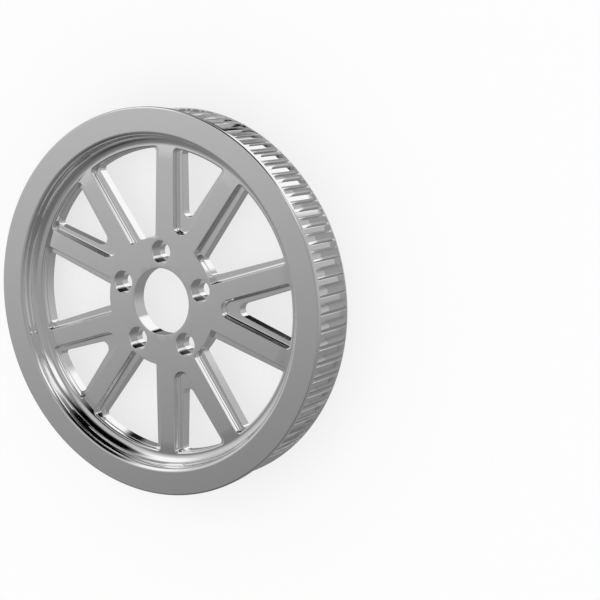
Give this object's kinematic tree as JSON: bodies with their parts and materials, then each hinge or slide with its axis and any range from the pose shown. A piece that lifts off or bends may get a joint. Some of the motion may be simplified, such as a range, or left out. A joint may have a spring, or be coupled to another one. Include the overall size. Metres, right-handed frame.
{
  "type": "belt pulley",
  "caption": "One-piece flanged toothed belt pulley with paired leaning spokes, a plain bore and a counterbored bolt circle, for a motorcycle rear wheel.",
  "frame": {"origin": "on the axle line, at the plane of the rim's back edge", "axes": "+Z along the axle, out of the face that is seen; +Y from the axle to the middle of one bolt hole"},
  "size_m": [0.32, 0.32, 0.0485],
  "materials": {
    "chrome": "bright chrome plate over polished aluminium alloy"
  },
  "bodies": {
    "root": {"pulley": "chrome"}
  },
  "joints": []
}
